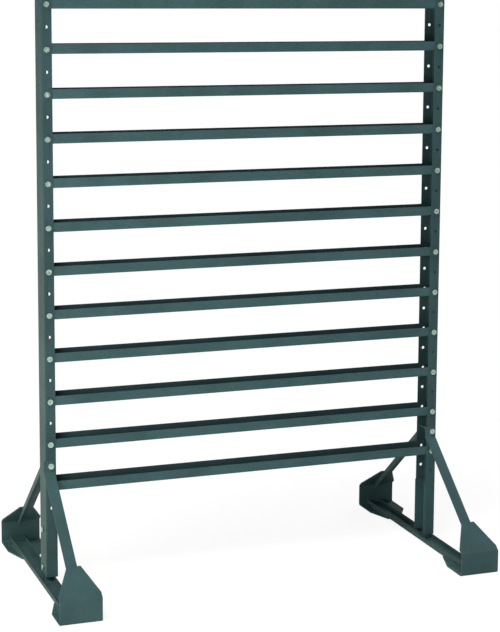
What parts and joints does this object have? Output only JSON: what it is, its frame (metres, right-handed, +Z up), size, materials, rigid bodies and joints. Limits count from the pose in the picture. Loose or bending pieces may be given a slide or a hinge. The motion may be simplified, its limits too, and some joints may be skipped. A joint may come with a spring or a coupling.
{
  "type": "hanging bin rail rack",
  "caption": "Floor-standing painted steel rack of open-topped horizontal rails bolted between two perforated posts on splayed, braced feet, for hanging bins or files.",
  "frame": {"origin": "on the floor, midway between the four feet", "axes": "+X to the right along the rails, -Y the front face that the rail screws enter, +Z up"},
  "size_m": [1.061, 0.6, 1.345],
  "materials": {
    "paint": "satin",
    "zinc": "satin"
  },
  "bodies": {
    "root": {"left_post": "paint", "right_post": "paint", "rail_01": "paint", "rail_02": "paint", "rail_03": "paint", "rail_04": "paint", "rail_05": "paint", "rail_06": "paint", "rail_07": "paint", "rail_08": "paint", "rail_09": "paint", "rail_10": "paint", "rail_11": "paint", "rail_12": "paint", "left_base_bar": "paint", "right_base_bar": "paint", "left_base_stub": "paint", "right_base_stub": "paint", "left_front_foot": "paint", "right_front_foot": "paint", "left_rear_foot": "paint", "right_rear_foot": "paint", "left_front_brace": "paint", "right_front_brace": "paint", "left_rear_brace": "paint", "right_rear_brace": "paint", "left_rail_screws": "zinc", "right_rail_screws": "zinc", "left_rail_nuts": "zinc", "right_rail_nuts": "zinc", "left_brace_bolt": "zinc", "right_brace_bolt": "zinc", "left_brace_nut": "zinc", "right_brace_nut": "zinc", "left_stub_bolts": "zinc", "right_stub_bolts": "zinc", "left_stub_nuts": "zinc", "right_stub_nuts": "zinc"}
  },
  "joints": []
}
